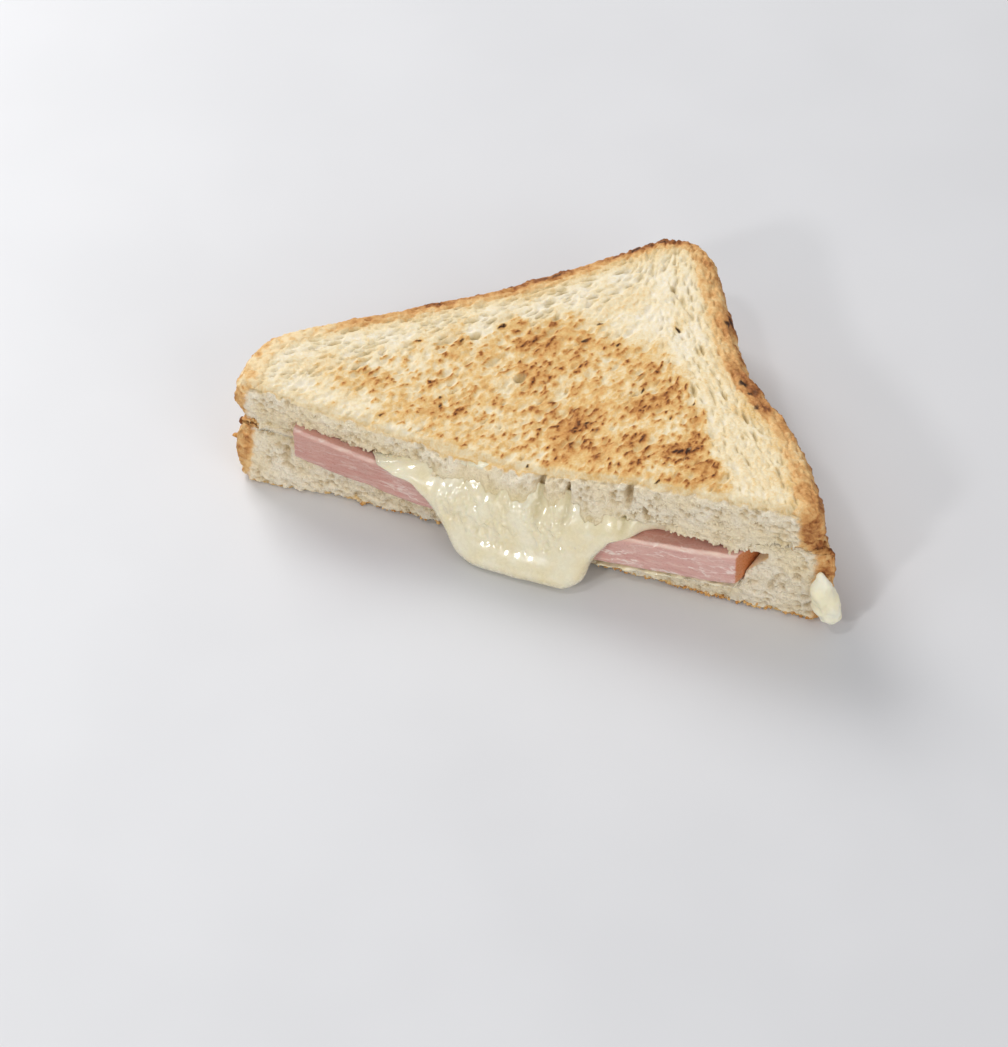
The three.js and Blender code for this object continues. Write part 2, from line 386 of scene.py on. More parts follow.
def between(tree, value, low, high, to_low=0.0, to_high=1.0):
    """An easy slope from one value at low to another at high."""
    values = {"Value": value, "From Min": low, "From Max": high, "To Min": to_low, "To Max": to_high}
    return add(tree, "ShaderNodeMapRange", values, interpolation_type="SMOOTHSTEP").outputs[0]


def blend(tree, share, a, b):
    """Two colours mixed by a share from 0 to 1."""
    values = {0: share, 6: a, 7: b}
    return add(tree, "ShaderNodeMix", values, data_type="RGBA", clamp_factor=True).outputs[2]


def blend_values(tree, share, a, b):
    """Two numbers mixed by a share from 0 to 1."""
    return add(tree, "ShaderNodeMix", {0: share, 2: a, 3: b}).outputs[0]


def ramp(tree, value, stops):
    made = add(tree, "ShaderNodeValToRGB", {"Fac": value})
    points = made.color_ramp.elements
    while len(points) < len(stops):
        points.new(0.5)
    for point, (at, colour) in zip(points, stops):
        point.position = at
        point.color = colour
    return made.outputs["Color"]


def mask(tree, name):
    """A value painted on the piece."""
    return add(tree, "ShaderNodeAttribute", attribute_name=name).outputs["Fac"]


def object_place(tree):
    return add(tree, "ShaderNodeTexCoord").outputs["Object"]


def speckle(tree, size, detail, stretch=(1, 1, 1), rough=0.55):
    """Noise in the object's own space, with lumps about `size` millimetres across."""
    scale = tuple(1 / (size * MM * s) for s in stretch)
    placed = add(tree, "ShaderNodeMapping", {"Vector": object_place(tree), "Scale": scale}).outputs[0]
    values = {"Vector": placed, "Scale": 1.0, "Detail": detail, "Roughness": rough}
    return add(tree, "ShaderNodeTexNoise", values).outputs[0]


def new_group(name, inputs):
    """An empty shader node group with named inputs, that gives a colour and a height."""
    tree = bpy.data.node_groups.new(name, "ShaderNodeTree")
    for label, value in inputs.items():
        socket = tree.interface.new_socket(label, in_out="INPUT", socket_type="NodeSocketFloat")
        socket.default_value = value
    for label, kind in (("Colour", "NodeSocketColor"), ("Height", "NodeSocketFloat")):
        tree.interface.new_socket(label, in_out="OUTPUT", socket_type=kind)
    return tree, tree.nodes.new("NodeGroupInput").outputs, tree.nodes.new("NodeGroupOutput")


def use_group(tree, group, inputs):
    return add(tree, "ShaderNodeGroup", inputs, node_tree=group).outputs


def browning_group():
    """Bread from pale cream through gold and brown to black, broken up by fine grain."""
    tree, given, gives = new_group("browning", {"Toast": 0.2, "Grain": 0.2})
    fine = speckle(tree, 0.55, 4.0)
    broad = speckle(tree, 6.0, 2.0)
    grain = times(tree, minus(tree, fine, 0.5), given["Grain"])
    drift = times(tree, minus(tree, broad, 0.5), 0.16)
    level = plus(tree, plus(tree, given["Toast"], grain), drift)
    stops = [
        (0.0, rgb(248, 239, 220)),
        (0.2, rgb(243, 225, 186)),
        (0.4, rgb(232, 193, 128)),
        (0.6, rgb(211, 153, 86)),
        (0.8, rgb(160, 98, 46)),
        (1.0, rgb(66, 36, 18)),
    ]
    feed(tree, gives, {"Colour": ramp(tree, level, stops), "Height": fine})
    return tree


def crumb_group():
    """The soft white crumb of a cut, with a fine web of little holes painted darker as shade, and darker
    again where pit shade is given.
    """
    tree, given, gives = new_group("crumb", {"Pit Shade": 0.0})
    wander = times(tree, speckle(tree, 2.0, 2.0), 0.0012)
    moved = add(tree, "ShaderNodeVectorMath", {0: object_place(tree), 1: wander}, operation="ADD").outputs[0]
    cell = {"Vector": moved, "Scale": 1150.0, "Randomness": 1.0}
    cell = add(tree, "ShaderNodeTexVoronoi", cell).outputs["Distance"]
    fine = speckle(tree, 0.5, 3.0)
    web = times(tree, between(tree, cell, 0.12, 0.5), between(tree, fine, 0.3, 0.62, 0.4, 1.0))
    # Painted shade: the inside of each little hole, and wherever pit shade is given, is mixed toward a darker
    # tan.
    dark = times(tree, minus(tree, 1.0, web), 0.24)
    dark = plus(tree, dark, times(tree, given["Pit Shade"], 0.7))
    drift = between(tree, speckle(tree, 9.0, 2.0), 0.35, 0.65)
    broad = blend(tree, drift, rgb(252, 240, 216), rgb(248, 231, 197))
    feed(tree, gives, {"Colour": blend(tree, dark, broad, rgb(206, 182, 140)), "Height": web})
    return tree


def crust_group():
    """Baked crust: golden brown, mottled, with darker ridges and pale floury flecks."""
    tree, given, gives = new_group("crust", {"Deep": 0.0})
    broad = speckle(tree, 5.0, 3.0)
    fine = speckle(tree, 0.9, 4.0, rough=0.65)
    wrinkle = speckle(tree, 1.1, 3.0, (3.0, 3.0, 1.0))
    level = plus(tree, times(tree, broad, 0.7), times(tree, fine, 0.5))
    level = plus(tree, level, times(tree, wrinkle, 0.35))
    level = plus(tree, minus(tree, level, 0.3), given["Deep"])
    stops = [
        (0.15, rgb(245, 221, 176)),
        (0.36, rgb(235, 193, 132)),
        (0.56, rgb(214, 158, 95)),
        (0.8, rgb(164, 102, 52)),
        (1.0, rgb(70, 40, 22)),
    ]
    feed(tree, gives, {"Colour": ramp(tree, level, stops), "Height": plus(tree, fine, wrinkle)})
    return tree


def new_material(name):
    made = bpy.data.materials.new(name)
    made.use_nodes = True
    tree = made.node_tree
    return made, tree, tree.nodes["Principled BSDF"]


def bump(tree, height, strength, deep):
    """Fine relief in the shading, up to `deep` metres."""
    values = {"Height": height, "Strength": strength, "Distance": deep}
    return add(tree, "ShaderNodeBump", values).outputs[0]


def soft_inside(shader, weight, radius, scale):
    """Let light sink in, as it does in food."""
    shader.inputs["Subsurface Weight"].default_value = weight
    shader.inputs["Subsurface Radius"].default_value = radius
    shader.inputs["Subsurface Scale"].default_value = scale


def bread_material(name, browning, crumb, crust):
    """Toasted bread: browned face, baked crust, white cut crumb, burnt specks, smears of cheese and painted
    shade in its pits, slits, pores and torn holes.
    """
    made, tree, shader = new_material(name)
    pit, burnt, greasy = [mask(tree, label) for label in ("pit", "burnt", "greasy")]
    face = use_group(tree, browning, {"Toast": mask(tree, "toast"), "Grain": 0.34})
    cut = use_group(tree, crumb, {"Pit Shade": pit})
    skin = use_group(tree, crust, {"Deep": mask(tree, "baked")})
    edge = times(tree, minus(tree, speckle(tree, 1.5, 3.0), 0.5), 0.5)
    crumby = between(tree, plus(tree, mask(tree, "crumb"), edge), 0.25, 0.75)
    crusty = between(tree, plus(tree, mask(tree, "crust"), edge), 0.3, 0.7)
    black = between(tree, plus(tree, burnt, times(tree, edge, 0.6)), 0.25, 1.0)
    # Painted shade: the face's pits and slits are mixed toward a darker tan.
    colour = blend(tree, times(tree, pit, 0.75), face["Colour"], rgb(202, 182, 136))
    colour = blend(tree, crumby, colour, cut["Colour"])
    colour = blend(tree, crusty, colour, skin["Colour"])
    colour = blend(tree, greasy, colour, rgb(238, 218, 168))
    colour = blend(tree, black, colour, rgb(50, 26, 14))
    rough = minus(tree, between(tree, greasy, 0.0, 1.0, 0.82, 0.32), times(tree, crusty, 0.14))
    height = blend_values(tree, crumby, times(tree, face["Height"], 0.6), cut["Height"])
    height = blend_values(tree, crusty, height, skin["Height"])
    relief = bump(tree, height, 0.75, 0.00034)
    feed(tree, shader, {"Base Color": colour, "Roughness": rough, "Normal": relief})
    shader.inputs["Specular IOR Level"].default_value = 0.3
    soft_inside(shader, 0.06, (1.0, 0.7, 0.4), 0.001)
    return made


def ham_material():
    """Cooked ham: pink, with pale fibres, a pale fatty top edge, a darker top, painted shade on the left of
    its front, and a browned end.
    """
    made, tree, shader = new_material("cooked_ham")
    fibres = speckle(tree, 1.0, 4.0, (5.0, 2.0, 0.8), 0.6)
    patches = speckle(tree, 9.0, 3.0, (1.6, 1.0, 0.7))
    grain = speckle(tree, 0.5, 3.0)
    streaks = between(tree, plus(tree, fibres, times(tree, patches, 0.5)), 0.72, 0.95)
    web = speckle(tree, 4.5, 3.0, (2.6, 1.5, 0.8), 0.6)
    web = between(tree, maths(tree, "ABSOLUTE", minus(tree, web, 0.5)), 0.0, 0.035, 1.0, 0.0)
    veins = times(tree, web, between(tree, patches, 0.35, 0.6, 0.3, 0.9))
    dark = times(tree, between(tree, grain, 0.5, 0.75), 0.25)
    colour = blend(tree, between(tree, patches, 0.35, 0.65), rgb(223, 178, 166), rgb(214, 159, 149))
    for share, tint in (
        (times(tree, streaks, 0.5), rgb(242, 214, 200)),
        (veins, rgb(248, 230, 220)),
        (dark, rgb(208, 144, 134)),
        # A darker top, and painted shade on the left of the front.
        (mask(tree, "face"), rgb(192, 137, 121)),
        (mask(tree, "seared"), rgb(204, 120, 58)),
        (mask(tree, "fatty"), rgb(244, 214, 194)),
    ):
        colour = blend(tree, share, colour, tint)
    rough = between(tree, grain, 0.3, 0.7, 0.24, 0.42)
    relief = bump(tree, plus(tree, times(tree, fibres, 0.8), times(tree, grain, 0.4)), 0.4, 0.0002)
    feed(tree, shader, {"Base Color": colour, "Roughness": rough, "Normal": relief})
    soft_inside(shader, 0.2, (1.0, 0.4, 0.3), 0.0018)
    return made


def cheese_material(name, pale, deep, gloss, wet):
    """Melted cheese: ivory to cream, wet and a little see-through, with painted shade in its folds and along
    the lower rim of its foot.
    """
    made, tree, shader = new_material(name)
    broad = speckle(tree, 7.0, 2.0)
    fine = speckle(tree, 1.1, 2.0)
    colour = blend(tree, between(tree, broad, 0.3, 0.7), pale, deep)
    # Painted shade: folds and the foot's lower rim are mixed toward a darker cream.
    colour = blend(tree, mask(tree, "crease"), colour, rgb(206, 190, 140))
    rough = between(tree, fine, 0.3, 0.7, gloss, gloss + 0.14)
    relief = bump(tree, fine, 0.15, 0.00025)
    feed(tree, shader, {"Base Color": colour, "Roughness": rough, "Normal": relief})
    shader.inputs["Coat Weight"].default_value = wet
    shader.inputs["Coat Roughness"].default_value = 0.07
    soft_inside(shader, 0.25, (1.0, 0.8, 0.45), 0.0016)
    return made


# ---------------------------------------------------------------- bread


def pits_and_slits(face, chance, torn):
    """The open crumb of a griddled face: how deep its round pits are, and its narrow slits and tears."""
    pits, slits = face.blank(), face.blank()
    for _ in range(PIT_TRIES):
        at = picks(chance, (-88, 84), (-4, 102))
        near = min(from_crusts(*at))
        if near < 1:
            continue
        middle = float(smooth(12, 26, near))
        turn = float(crumb_turn(*at)) + chance.gauss(0, 0.2)
        size = math.exp(chance.gauss(0, 0.35))
        if chance.random() < mix(0.2, 0.6, middle):
            long, wide = mix(1.6, 2.0, middle) * size, mix(0.9, 1.1, middle) * size
            face.press(pits, at, turn, long, wide, 0.35 * chance.uniform(0.6, 1.2) * size)
        elif chance.random() < mix(0.34, 0.05, middle):
            face.press(slits, at, turn, *picks(chance, (2.0, 4.5), (0.5, 0.9), (0.3, 0.8)))
    for _ in range(HOLLOWS):
        at = picks(chance, (-45, 34), (8, 56))
        face.press(pits, at, float(crumb_turn(*at)), *picks(chance, (3.0, 5.0), (1.5, 2.4), (0.5, 0.9)))
    for _ in range(SLIT_TRIES):
        at = picks(chance, (-80, 78), (0, 90))
        if 5 < min(from_crusts(*at)) < 21:
            turn = float(crumb_turn(*at)) + chance.gauss(0, 0.1)
            face.press(slits, at, turn, *picks(chance, (2.5, 6), (0.8, 1.3), (0.5, 1.0)))
    for *at, long, wide in torn:
        face.press(slits, at, float(crumb_turn(*at)), long, wide, 1.6)
    return face.soften(pits, 0.1), face.soften(slits, 0.08)


def hot_area(face, cloud):
    """Where the griddle browned the face: inside both crusts, from the cut inwards, with a cloudy edge."""
    left, right = from_crusts(face.x, face.y)
    hot = smooth(13, 21, left + 1.4 * cloud)
    hot *= smooth(19.5, 26, right - 5.5 * smooth(26, 6, face.y) + 1.4 * cloud)
    hot *= smooth(-1.5, 2.0, face.y + 0.7 * cloud) * smooth(60, 45, face.y + 0.25 * face.x + 2 * cloud)
    hot *= mix(0.4, 1.0, smooth(-68, -38, face.x))
    hot *= 1 - 0.5 * smooth(-8, -26, face.x) * smooth(13, 5, face.y)
    return hot


def griddle_dashes(face, chance, hot, strokes, near):
    """Short browned dashes along the run of the crumb where the face is hot, and the burnt cores of some."""
    dashes, burnt, crowded = face.blank(), face.blank(), face.blank()
    for _ in range(STROKE_TRIES):
        at = picks(chance, (-68, 46), (-1, 58))
        big = chance.random() < BIG_BURN_CHANCE
        lively = face.read_at(strokes, *at) + 0.25 * face.read_at(hot, *at)
        if lively < chance.uniform(0.25, 0.95) and not (big and face.read_at(near, *at) > 15):
            continue
        if face.read_at(dashes, *at) > 0.25:
            continue
        turn = float(crumb_turn(*at)) + chance.gauss(0, 0.3)
        long = chance.uniform(0.9, 2.5)
        face.press(dashes, at, turn, long, *picks(chance, (0.42, 0.82), (0.4, 1.3)))
        if big or chance.random() < 0.42 and face.read_at(crowded, *at) < 0.4:
            back = -0.25 * long
            core = at[0] + back * math.cos(turn), at[1] + back * math.sin(turn)
            face.press(crowded, core, turn, 2.4, 1.8, 1.0)
            long = chance.uniform(1.6, 3.0) if big else chance.uniform(0.45, 1.05)
            deep = 1.2 if big else chance.uniform(0.15, 0.8)
            face.press(burnt, core, turn, long, long * chance.uniform(0.35, 0.7), deep)
    return np.clip(dashes, 0, 1), burnt


def griddled_face(seed, torn):
    """A flat map of a slice's griddled face: its rise, its browning, the painted shade of its pits and slits,
    and its burnt specks.
    """
    face = FaceMap(low=(-92, -8), high=(90, 106), step=0.2)
    chance = random.Random(seed)
    pits, slits = pits_and_slits(face, chance, torn)

    turn = crumb_turn(face.x, face.y)
    streak = face.combed(turn, seed, length=1.7, width=0.18)
    grain = face.combed(turn, seed + 2, length=0.4, width=0.13)
    mottle = face.combed(turn, seed + 3, length=1.2, width=0.5)
    cloud = face.combed(turn, seed + 1, length=6.0, width=2.2)

    near = np.minimum(*from_crusts(face.x, face.y))
    hot = hot_area(face, cloud)
    ridge = (face.soften(pits, 0.7) - pits) / 0.1
    strokes = hot * smooth(0.1, 1.7, 0.45 * ridge + 0.7 * streak + 0.3 * mottle + 0.15 * cloud)
    dashes, burnt = griddle_dashes(face, chance, hot, strokes, near)
    singed = face.soften(burnt, 0.4)

    toast = mix(0.05, 0.1, smooth(-60, 0, face.x)) + 0.12 * smooth(-0.8, 1.6, cloud) * smooth(3, 14, near)
    toast += 0.1 * smooth(62, 40, face.y) * smooth(10, 40, face.x) * (1 - hot)
    warm = 0.265 + 0.03 * smooth(0, 30, face.x) - 0.05 * smooth(-35, -60, face.x)
    toast += hot * (warm + 0.05 * mottle + 0.03 * cloud) + 0.12 * face.soften(strokes, 0.5)
    browned = 0.08 * strokes * (1 + 0.25 * grain) + 0.52 * dashes * (1 + 0.2 * grain)
    toast += browned + 0.6 * np.minimum(singed, 0.2)
    toast += 0.035 * grain + 0.1 * smooth(0.6, 1.8, streak) * (1 - hot) - 0.14 * smooth(0.2, 0.6, pits)
    toast -= 0.3 * np.maximum(toast - 0.65, 0)

    rise = 0.15 - pits - slits + 0.06 * streak + 0.05 * grain + 0.1 * dashes
    # Painted shade in the pits and slits, for the material to darken.
    pit = np.maximum(0.4 * smooth(0.3, 0.9, pits), smooth(0.2, 0.7, slits))
    return face, {"rise": rise, "toast": toast, "pit": pit, "burnt": burnt}


def cut_crumb(seed, long_holes):
    """A flat map of the cut crumb, along the cut and up: how deep its pores and its torn holes are."""
    cut = FaceMap(low=(-92, -4), high=(90, 46), step=0.16)
    chance = random.Random(seed)
    pores, torn = cut.blank(), cut.blank()
    for _ in range(CUT_PORES):
        size = math.exp(chance.gauss(-0.5, 0.38))
        at = picks(chance, (-88, 86), (0, 42))
        long = size * chance.uniform(1.0, 1.8)
        cut.press(pores, at, chance.gauss(0, 0.6), long, size, 0.5 * size)
    for _ in range(LARGE_CUT_PORES):
        at = picks(chance, (-84, 82), (1, 38))
        size = chance.uniform(1.0, 1.7)
        cut.press(pores, at, chance.gauss(0, 0.5), size * 1.5, size, 0.5 * size)
    for *at, tall, wide, deep in long_holes:
        cut.press(torn, at, math.pi / 2 + chance.gauss(0, 0.12), tall, wide, deep)
    return cut, {"hole": cut.soften(pores, 0.1), "smear": torn}


def height_along(x, z, wanted, highest):
    """The highest or lowest height along the cut, from the points wanted, at every point's place along it."""
    side, bins = (1 if highest else -1), 2 * CUT_REACH
    line = np.full(bins, -np.inf)
    np.maximum.at(line, np.clip((x[wanted] + CUT_REACH).astype(int), 0, bins - 1), side * z[wanted])
    known = np.flatnonzero(np.isfinite(line))
    line = np.interp(np.arange(bins), known, line[known])
    line = np.convolve(np.pad(line, 3, mode="edge"), np.ones(7) / 7, "valid")
    return side * np.interp(x + (CUT_REACH - 0.5), np.arange(bins), line)


def inset_from_crust(places, ways, low, high):
    """How far inside the crust's wall each point is, seen from above, from the wall between two heights."""
    upright = (np.abs(ways[:, 2]) < 0.6) & (ways[:, 1] > -0.5)
    wall = places[upright & (places[:, 2] > low) & (places[:, 2] < high)]
    wall = wall[:: max(len(wall) // WALL_POINTS, 1)]
    near = kdtree.KDTree(len(wall))
    for k, place in enumerate(wall):
        near.insert((place[0], place[1], 0), k)
    near.balance()
    plan = FaceMap(low=(-90, -8), high=(88, 104), step=1.0)
    inset = np.array([near.find((x, y, 0))[2] for x, y in zip(plan.x.ravel(), plan.y.ravel())])
    return plan.read(inset.reshape(plan.size), places[:, 0], places[:, 1])


def slice_areas(places, ways, griddled_up):
    """What each point of a slice is part of (face, crust, cut, inside, torn lip), and how near the edges."""
    x, y, z = places.T
    wall = (27, 40) if griddled_up else (0, 5)
    on = PointValues(inset=inset_from_crust(places, ways, *wall))
    on.behind = y + CUT_BOW * (1 - (x / CUT_HALF) ** 2)
    on.out = ways[:, 2] if griddled_up else -ways[:, 2]
    on.griddled = smooth(0.45, 0.85, on.out)
    on.cut = smooth(0.4, 0.8, -ways[:, 1]) * smooth(9, 5, on.behind)
    on.crust = smooth(0.1, 0.5, 1 - on.griddled - on.cut) * smooth(6.5, 4.0, on.inset)
    on.inner = smooth(0.5, 0.9, -on.out)
    on.lip = smooth(0.15, 0.5, -ways[:, 1]) * smooth(0.1, 0.5, -ways[:, 2]) * smooth(6, 3, on.behind)
    on.to_rim = np.abs(height_along(x, z, on.behind < 4, griddled_up) - z)
    on.over_seam = z - height_along(x, z, on.behind < 4, not griddled_up)
    left, right = from_crusts(x, y)
    on.leftward = smooth(6, -6, left - right)
    return on


def slice_grain(places, seed, cut):
    """Lumps of several sizes, wrinkles and open pores at each point of a slice."""
    grain = PointValues(
        broad=lumps(places, 14, seed, 2),
        knobs=lumps(places, 2.4, seed + 1, 3),
        fine=lumps(places, 0.9, seed + 2, 3),
        wrinkle=lumps(places, 1.5, seed + 3, 3, (4, 4, 1)),
    )
    bent = places + 0.5 * np.stack([grain.knobs, grain.fine, -grain.knobs], 1)
    pore = np.where(cut > 0.05, 1 - cells(bent, 1.6, seed, (1.3, 1, 1)), 0.5)
    open_crumb = 0.45 + 0.75 * smooth(-0.45, 0.4, lumps(places, 5, seed + 11, 2))
    grain.pore = smooth(0.2, 0.9, pore) * open_crumb
    return grain


def slice_relief(places, ways, on, grain, marks, seed, griddled_up):
    """Where each point of a slice goes once its pits, pores, lumps and wrinkles are worked in."""
    x, z = places[:, 0], places[:, 2]
    broad, knobs, fine = grain.broad, grain.knobs, grain.fine
    push = on.griddled * (marks.rise + 0.3 * broad + 0.06 * fine)
    glazed = bell(x, -2, 26) * smooth(29, 22, z) * griddled_up
    crumbly = (1 - 0.65 * glazed) * (0.4 * knobs + 0.2 * fine - grain.pore - 0.7 * marks.hole)
    push += on.cut * (0.3 - marks.smear + crumbly)
    baked = 0.5 * knobs + 0.35 * grain.wrinkle + 0.16 * fine + 0.4 * broad
    push += on.crust * (baked + 0.4 * lumps(places, 6, seed + 10, 1))
    pinched = 0.4 * lumps(places, 6, seed + 6, 1) - 1.2 * bell(on.over_seam, 0, 2.6)
    push += on.crust * smooth(-66, -77, x) * pinched
    push += on.inner * (0.2 * knobs + 0.6 * smooth(-58, -64, x))
    if griddled_up:
        teeth = lumps(places, 1.0, seed + 4, 2, (1, 3, 3))
        push += on.lip * (0.1 + 1.1 * (1 - 0.8 * glazed) * smooth(0.0, 0.5, teeth))
    else:
        push = np.where(z < 1.2, np.minimum(push, 0), push)
    moved = places + ways * push[:, None]
    parted = 0.55 * smooth(-62, -68, x) + 0.3 * smooth(60, 64, x)
    moved[:, 1] += on.cut * parted * bell(on.over_seam, 0, 4.0) * 2.8
    return moved


def hang_fingers(moved, places, on, grain, seed, long_holes):
    """Let fingers of torn crumb hang from the top slice's cut, and round the cut's upper edge."""
    x, z = places[:, 0], places[:, 2]
    grooves = sum(bell(x, middle, wide) for middle, _, _, wide, _ in long_holes)
    sideways = np.stack([x, 0.5 * z, 0 * x], 1)
    fingers = 0.4 + 0.6 * smooth(-0.5, 0.3, lumps(sideways, 5.5, seed + 9, 1))
    fingers *= smooth(-33, -24, x) * smooth(31, 24, x) * np.clip(1 - grooves, 0, 1)
    fingers *= smooth(0.15, 0.6, on.cut + on.lip) * smooth(6, 1, on.behind)
    low = np.clip((30 - z) / 7, 0, 1)
    moved[:, 1] -= fingers * (0.4 + 3.2 * low**1.2) * smooth(0, 0.25, low)
    moved[:, 2] -= fingers * (1.8 + 0.25 * grain.knobs) * low**2
    round_off = smooth(4, 0, on.behind) * smooth(4, 0, on.to_rim)
    moved[:, 1] += (1.1 + 0.5 * grain.knobs) * round_off
    moved[:, 2] -= (1.0 + 0.5 * grain.broad) * round_off


def crust_baking(places, on, grain):
    """How much deeper than its usual gold each point of the crust is baked."""
    x, y, z = places.T
    broad, knobs = grain.broad, grain.knobs
    baked = 0.2 * smooth(0.0, 0.5, knobs) * smooth(0.3, 0.8, 1 - on.griddled) - 0.1
    brown_leg = on.leftward * (0.2 + 0.8 * smooth(-70, -48, x))
    band = 0.42 * brown_leg * bell(on.inset, 1.2, 1.3)
    baked += band * smooth(0.0, 0.4, on.out) * smooth(-0.5, 0.4, broad + 0.5 * knobs)
    blotches = 0.02 + 0.2 * smooth(-0.2, 0.5, broad + 0.6 * knobs)
    baked += (1 - on.leftward) * blotches * smooth(4.5, 1.5, on.inset)
    baked += 0.18 * brown_leg * smooth(3, 1, on.inset)
    baked += smooth(-60, -72, x) * smooth(0.1, 0.5, on.out) * (0.3 * knobs - 0.18)
    baked += 0.06 * smooth(48, 66, x) * smooth(0.9, 0.5, on.griddled) * smooth(5, 1, on.inset)
    far = np.hypot(x - 39, (y - 48) * 0.75)
    scorch = bell(far, 0, 13) * smooth(3.5, 1.5, on.inset) * smooth(28, 36, z)
    return baked + 0.16 * scorch


def slice_masks(places, moved, on, grain, marks, blisters, griddled_up):
    """What the bread's material shows at each point of a slice."""
    x, knobs = places[:, 0], grain.knobs
    blister, singe = 0 * x, 0 * x
    for *at, wide in blisters:
        away = np.linalg.norm(places - at, axis=1) + 0.6 * knobs
        blister = np.maximum(blister, smooth(wide, 0.2 * wide, away))
        singe = np.maximum(singe, smooth(3.5 * wide, wide, away))

    ragged = on.inset + 0.9 * knobs - 0.9 * (1 - on.leftward) - 1.2 * smooth(-66, -76, x)
    shoulder = smooth(5.6, 2.6, ragged)
    thin = smooth(3.0 + 3.0 * smooth(54, 66, np.abs(x)), 0.9, on.inset + 0.6 * knobs)
    spill = smooth(0.1, 2.4, on.to_rim + 1.1 * knobs + 0.5 * grain.fine)

    gold = 0.14 * bell(x, -10, 24) * griddled_up
    toast = mix(marks.toast, 0.42, smooth(8.5, 4.0, on.inset) * 0.65)
    toast = mix(toast, 0.22 + gold + 0.12 * knobs, smooth(4, 0.5, on.behind) * on.griddled * 0.8)
    toast = mix(toast, (0.3 + gold if griddled_up else 0.5) + 0.15 * knobs, on.cut)

    dripped = smooth(0.15, 0.6, on.cut + on.lip) * bell(x, -2, 30)
    greasy = dripped * smooth(28, 21, moved[:, 2]) * griddled_up
    ends = 0.5 * smooth(-58, -63, x) + 0.35 * smooth(54, 62, x)
    greasy += on.cut * ends * bell(on.over_seam, 0, 3.5) * smooth(4, 8, on.inset)

    # Painted shade: the griddled face's pits and slits, the cut's open pores and its torn holes are darkened.
    open_cut = on.cut * smooth(0.3, 1.1, grain.pore + 0.4 * marks.hole)
    pit = on.griddled * marks.pit + open_cut + on.cut * smooth(0.2, 1.2, marks.smear)
    return {
        "toast": toast,
        "crumb": np.clip(on.cut * spill + 0.85 * on.inner, 0, 1),
        "crust": np.clip(on.crust + shoulder * on.griddled * 0.9 + thin * on.cut * 0.9, 0, 1),
        "pit": np.clip(pit, 0, 1),
        "burnt": np.clip(on.griddled * marks.burnt + 0.9 * blister * (1 - on.cut), 0, 1),
        "greasy": np.clip(greasy, 0, 1),
        "baked": crust_baking(places, on, grain) + 0.24 * singe,
    }


def bread_slice(node, name, seed, griddled_up, long_holes, triangles, torn=(), blisters=()):
    """One slice: griddled face with pits and browning, rough crust, and a porous cut."""
    piece = copy_of(node, name, voxel=BREAD_VOXEL, rounds=14)
    places, ways = places_of(piece), ways_of(piece)
    x, y, z = places.T
    face, face_marks = griddled_face(seed, torn)
    cut, cut_marks = cut_crumb(seed + 5, long_holes)
    marks = PointValues(
        **{label: face.read(values, x, y) for label, values in face_marks.items()},
        **{label: cut.read(values, x, z) for label, values in cut_marks.items()},
    )
    on = slice_areas(places, ways, griddled_up)
    grain = slice_grain(places, seed, on.cut)
    moved = slice_relief(places, ways, on, grain, marks, seed, griddled_up)
    if griddled_up:
        hang_fingers(moved, places, on, grain, seed, long_holes)
    else:
        moved[:, 2] = np.maximum(moved[:, 2], 0.02)
    paint(piece, **slice_masks(places, moved, on, grain, marks, blisters, griddled_up))
    move_to(piece, moved)
    thin_to(piece, triangles)
    return piece


# ---------------------------------------------------------------- ham and cheese


def ham_slab(name, triangles):
    """The thick ham: gently uneven, fibrous, with a rounded fatty edge and a seared end."""
    piece = copy_of("ham", name, voxel=FILLING_VOXEL, rounds=5)
    places, ways = places_of(piece), ways_of(piece)
    x = places[:, 0]
    front = smooth(0.5, 0.85, -ways[:, 1])
    end = smooth(0.5, 0.85, ways[:, 0]) * smooth(45, 54, x)
    top = smooth(0.6, 0.95, ways[:, 2])
    rim = smooth(0.15, 0.6, -ways[:, 1]) * smooth(0.15, 0.6, ways[:, 2])
    broad = lumps(places, 12, 31, 2)
    fibre = lumps(places, 1.1, 32, 3, (5, 3, 0.8))
    fine = lumps(places, 0.6, 33, 3)
    push = 0.3 * broad + 0.14 * fibre + 0.05 * fine
    fatty = rim * (0.3 + 0.3 * smooth(0, 40, x) + 0.4 * broad + 0.3 * fibre) * smooth(0.9, 0.4, end)
    paint(
        piece,
        # The top is darker, and the left end of the front is darkened as painted shade.
        face=np.clip(0.75 * top * (1 - rim) + 0.55 * front * smooth(-20, -50, x), 0, 1),
        seared=np.clip(0.9 * end + 0.5 * front * smooth(54.5, 58.5, x + 0.6 * broad), 0, 1),
        fatty=np.clip(fatty, 0, 1),
    )
    move_to(piece, places + ways * push[:, None])
    thin_to(piece, triangles)
    return piece


